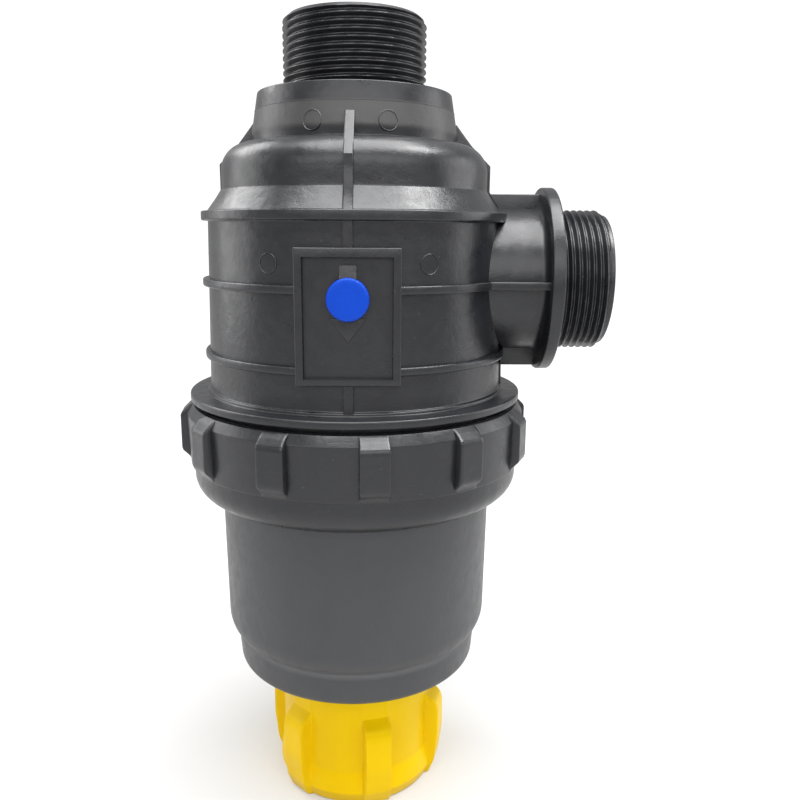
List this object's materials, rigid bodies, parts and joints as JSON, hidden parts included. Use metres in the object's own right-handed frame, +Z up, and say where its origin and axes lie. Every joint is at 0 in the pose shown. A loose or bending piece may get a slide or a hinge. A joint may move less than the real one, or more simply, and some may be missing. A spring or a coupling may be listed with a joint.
{
  "type": "suction filter",
  "caption": "In-line suction filter with two threaded male ports, a union nut, a bowl with a mesh cartridge and a ribbed cap that works a shut-off valve.",
  "frame": {"origin": "centre of the foot, which is the flat underside of the ribbed cap", "axes": "+Z up along the filter's axis, +X along the side port, -Y towards the framed front panel"},
  "size_m": [0.148, 0.124, 0.2738],
  "materials": {
    "head_plastic": "satin moulded",
    "bowl_plastic": "satin moulded",
    "cap_plastic": "soft gloss moulded",
    "marker_plastic": "soft gloss moulded",
    "valve_plastic": "satin moulded",
    "cartridge_plastic": "satin moulded",
    "mesh_steel": "woven wire",
    "spring_steel": "drawn wire",
    "seal_rubber": "smooth"
  },
  "bodies": {
    "head": {"head_body": "head_plastic", "marker_plug": "marker_plastic", "bowl_seal": "seal_rubber", "valve_seat": "valve_plastic", "seat_seal": "seal_rubber", "seat_snap_ring": "spring_steel", "valve_spring": "spring_steel"},
    "poppet": {"poppet_disc": "valve_plastic", "poppet_seal": "seal_rubber", "poppet_guide": "valve_plastic"},
    "bowl": {"bowl": "bowl_plastic", "cartridge_frame": "cartridge_plastic", "filter_mesh": "mesh_steel", "cartridge_top_seal": "seal_rubber", "cartridge_foot_seal": "seal_rubber"},
    "nut": {"ring_nut": "head_plastic"},
    "stem": {"valve_stem": "valve_plastic"},
    "cap": {"valve_cap": "cap_plastic", "cap_seal": "seal_rubber", "stem_clip": "spring_steel"}
  },
  "joints": [
    {"name": "bowl_drop", "type": "slide", "parent": "head", "child": "bowl", "axis": [0, 0, -1], "range_m": [0, 0.015]},
    {"name": "ring_nut_turn", "type": "hinge", "parent": "bowl", "child": "nut", "pos_m": [0, 0, 0.13], "axis": [0, 0, -1], "range_deg": [0, 900]},
    {"name": "stem_draw", "type": "slide", "parent": "bowl", "child": "stem", "axis": [0, 0, -1], "range_m": [0, 0.008]},
    {"name": "cap_turn", "type": "hinge", "parent": "stem", "child": "cap", "pos_m": [0, 0, 0.02], "axis": [0, 0, -1], "range_deg": [0, 480]},
    {"name": "poppet_close", "type": "slide", "parent": "head", "child": "poppet", "axis": [0, 0, -1], "range_m": [0, 0.008], "deforming": ["valve_spring"]}
  ],
  "couplings": [
    {"joint": "bowl_drop", "follows": "ring_nut_turn", "m_per_rad": 0.00095492},
    {"joint": "stem_draw", "follows": "cap_turn", "m_per_rad": 0.00095492},
    {"joint": "poppet_close", "follows": "cap_turn", "m_per_rad": 0.00095492}
  ]
}
